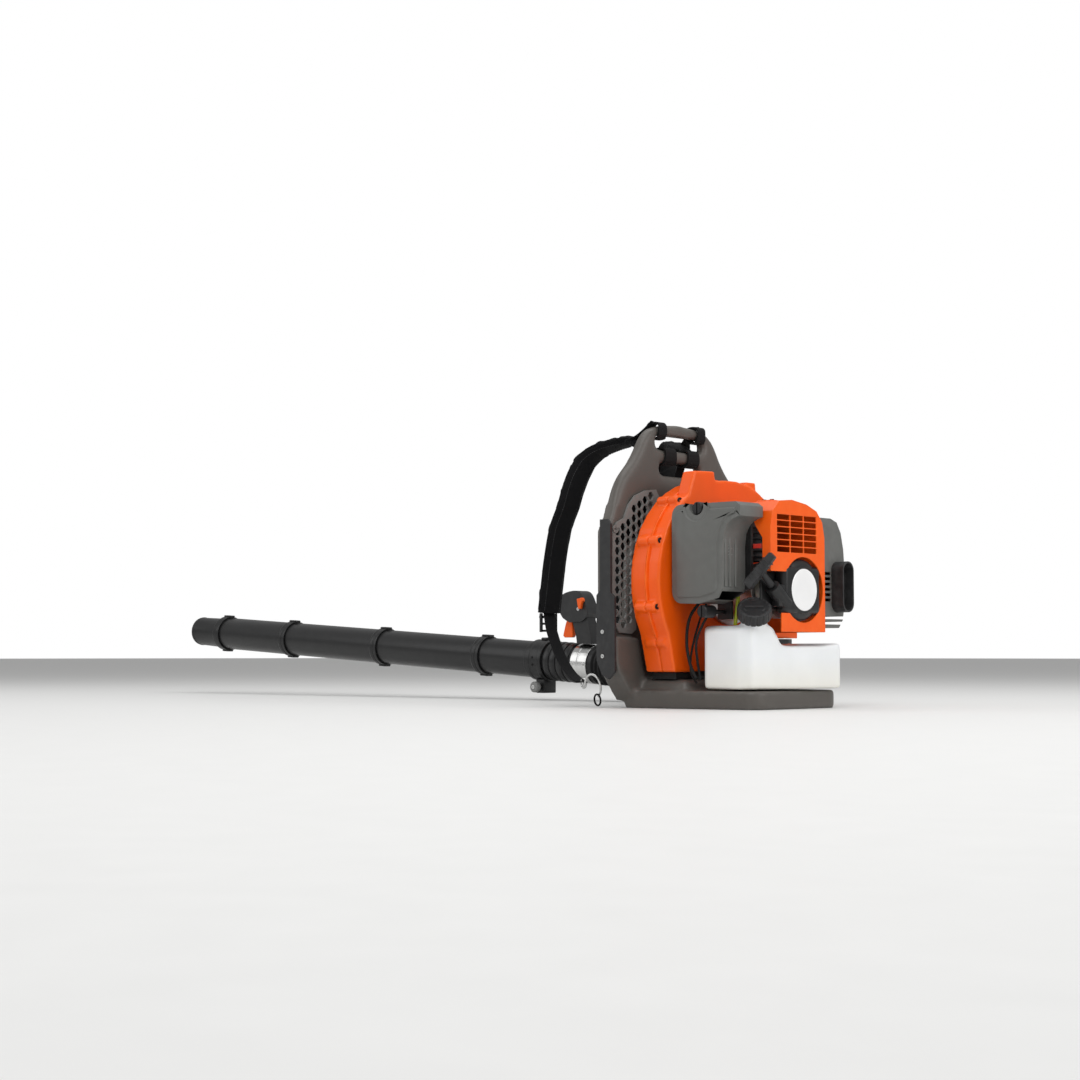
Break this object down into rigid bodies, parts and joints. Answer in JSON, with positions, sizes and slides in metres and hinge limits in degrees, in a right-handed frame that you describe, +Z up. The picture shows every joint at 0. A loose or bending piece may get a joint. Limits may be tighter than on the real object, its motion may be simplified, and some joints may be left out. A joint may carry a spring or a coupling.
{
  "type": "backpack leaf blower",
  "caption": "Petrol backpack blower: padded frame, round fan casing, engine, fuel tank, bellows, a long sectioned blow tube and a control handle.",
  "frame": {"origin": "centre of the base's underside, on the floor", "axes": "+X behind the wearer, so the blow tube points along -X; -Y is the wearer's left; +Z up"},
  "size_m": [1.8799, 0.4165, 0.4955],
  "materials": {
    "frame_grey": "moulded grey plastic, satin",
    "charcoal": "dark moulded plastic",
    "grille_grey": "light grey plastic",
    "orange": "orange moulded plastic, satin gloss",
    "cover_grey": "mid grey plastic",
    "black_plastic": "black plastic, satin",
    "black_rubber": "black rubber",
    "webbing": "black woven polyester",
    "tank_white": "translucent white polyethylene",
    "badge_white": "plain white badge",
    "black_metal": "black coated light alloy",
    "aluminium": "cast light alloy",
    "steel": "bright steel",
    "fuel_line": "clear yellow fuel line",
    "red": "red plastic",
    "foam": "dark filter foam",
    "knob_grey": "grey plastic"
  },
  "bodies": {
    "frame": {"backpack_frame": "frame_grey", "side_guard_left": "charcoal", "side_guard_right": "charcoal", "side_grille_left": "grille_grey", "side_grille_right": "grille_grey", "volute_front_shell": "orange", "volute_rear_shell": "orange", "engine_shroud": "orange", "muffler_cover": "cover_grey", "air_filter_cover": "cover_grey", "intake_grille": "black_plastic", "outlet_elbow": "black_plastic", "starter_housing": "black_plastic", "air_filter_base": "black_plastic", "isolator_left": "black_rubber", "isolator_right": "black_rubber", "spark_plug": "black_rubber", "back_pad": "webbing", "shoulder_strap_left": "webbing", "shoulder_strap_right": "webbing", "lower_webbing_left": "webbing", "lower_webbing_right": "webbing", "bar_wrap_left": "webbing", "bar_wrap_right": "webbing", "fuel_tank": "tank_white", "starter_badge": "badge_white", "cylinder": "black_metal", "exhaust_guard": "black_metal", "crankcase": "aluminium", "piston": "aluminium", "carburetor": "aluminium", "muffler": "steel", "strap_hook": "steel", "fuel_hose": "fuel_line", "air_filter_element": "foam"},
    "crank": {"crankshaft": "steel", "impeller": "black_plastic", "flywheel": "aluminium"},
    "starter_grip": {"starter_handle": "charcoal", "starter_rope": "webbing"},
    "starter_reel": {"starter_pulley": "black_plastic"},
    "choke": {"choke_lever": "red"},
    "primer": {"purge_bulb": "tank_white"},
    "tank_cap": {"fuel_cap": "charcoal"},
    "cover_knob_top": {"filter_knob_top": "black_plastic"},
    "cover_knob_bottom": {"filter_knob_bottom": "black_plastic"},
    "duct_middle": {"bellows_rear": "black_rubber", "bellows_band": "black_plastic"},
    "blow_tube": {"bellows_front": "black_rubber", "control_tube": "black_plastic", "swivel_collar": "black_plastic"},
    "collar_knob": {"swivel_knob": "knob_grey"},
    "handle": {"control_handle": "charcoal", "handle_clamp": "steel"},
    "trigger": {"throttle_trigger": "orange"},
    "stop": {"stop_switch": "orange"},
    "section_1": {"tube_section_1": "black_plastic"},
    "section_2": {"tube_section_2": "black_plastic"},
    "section_3": {"tube_section_3": "black_plastic"},
    "tip": {"nozzle_tip": "black_plastic"}
  },
  "joints": [
    {"name": "crank_spin", "type": "hinge", "parent": "frame", "child": "crank", "pos_m": [0, 0, 0.2], "axis": [1, 0, 0], "continuous": true},
    {"name": "starter_pull", "type": "slide", "parent": "frame", "child": "starter_grip", "axis": [-0.0201, -0.7648, 0.644], "range_m": [0, 0.6], "stiffness_N_per_m": 20, "springref_m": -0.25, "deforming": ["starter_rope"]},
    {"name": "starter_reel_spin", "type": "hinge", "parent": "frame", "child": "starter_reel", "pos_m": [0, 0, 0.2], "axis": [1, 0, 0], "range_deg": [0, 1620]},
    {"name": "choke_turn", "type": "hinge", "parent": "frame", "child": "choke", "pos_m": [0.094, -0.08125, 0.268], "axis": [0, 1, 0], "range_deg": [-20, 20]},
    {"name": "primer_press", "type": "slide", "parent": "frame", "child": "primer", "axis": [0, 0, 1], "range_m": [0, 0.003], "stiffness_N_per_m": 400},
    {"name": "fuel_cap_turn", "type": "hinge", "parent": "frame", "child": "tank_cap", "pos_m": [0.1222, -0.0957, 0.152], "axis": [0.4192, -0.499, 0.7585], "range_deg": [0, 540]},
    {"name": "cover_knob_top_turn", "type": "hinge", "parent": "frame", "child": "cover_knob_top", "pos_m": [0.046, -0.12, 0.331], "axis": [0, -1, 0], "range_deg": [0, 720]},
    {"name": "cover_knob_bottom_turn", "type": "hinge", "parent": "frame", "child": "cover_knob_bottom", "pos_m": [0.055, -0.12, 0.1605], "axis": [0, -1, 0], "range_deg": [0, 720]},
    {"name": "tube_swing", "type": "hinge", "parent": "frame", "child": "duct_middle", "pos_m": [-0.229, 0.1745, 0.06], "axis": [0, 0, 1], "range_deg": [-25, 15], "deforming": ["bellows_rear"]},
    {"name": "tube_tilt", "type": "hinge", "parent": "duct_middle", "child": "blow_tube", "pos_m": [-0.37977, 0.17088, 0.06489], "axis": [0, 1, 0], "range_deg": [-25, 30], "deforming": ["bellows_front"]},
    {"name": "collar_knob_turn", "type": "hinge", "parent": "blow_tube", "child": "collar_knob", "pos_m": [-0.60412, 0.14, 0.0255], "axis": [0, -1, 0], "range_deg": [0, 720]},
    {"name": "handle_turn", "type": "hinge", "parent": "blow_tube", "child": "handle", "pos_m": [-0.48746, 0.16599, 0.07148], "axis": [-0.9971, -0.0453, 0.0611], "range_deg": [-20, 20]},
    {"name": "trigger_squeeze", "type": "hinge", "parent": "handle", "child": "trigger", "pos_m": [-0.5295, 0.156, 0.163], "axis": [0, -1, 0], "range_deg": [0, 12], "stiffness_Nm_per_rad": 0.3, "springref_deg": -5.73},
    {"name": "stop_switch_turn", "type": "hinge", "parent": "handle", "child": "stop", "pos_m": [-0.4845, 0.136, 0.19], "axis": [0, 1, 0], "range_deg": [0, 20]},
    {"name": "section_1_twist", "type": "hinge", "parent": "blow_tube", "child": "section_1", "pos_m": [-0.76914, 0.1532, 0.08874], "axis": [-0.9971, -0.0453, 0.0611], "range_deg": [0, 30]},
    {"name": "section_2_twist", "type": "hinge", "parent": "section_1", "child": "section_2", "pos_m": [-1.07375, 0.13936, 0.1074], "axis": [-0.9971, -0.0453, 0.0611], "range_deg": [0, 30]},
    {"name": "section_3_twist", "type": "hinge", "parent": "section_2", "child": "section_3", "pos_m": [-1.37687, 0.1256, 0.12597], "axis": [-0.9971, -0.0453, 0.0611], "range_deg": [0, 30]},
    {"name": "tip_twist", "type": "hinge", "parent": "section_3", "child": "tip", "pos_m": [-1.61319, 0.11487, 0.14045], "axis": [-0.9971, -0.0453, 0.0611], "range_deg": [0, 30]}
  ],
  "couplings": [
    {"joint": "starter_reel_spin", "follows": "starter_pull", "rad_per_m": 45.455}
  ]
}
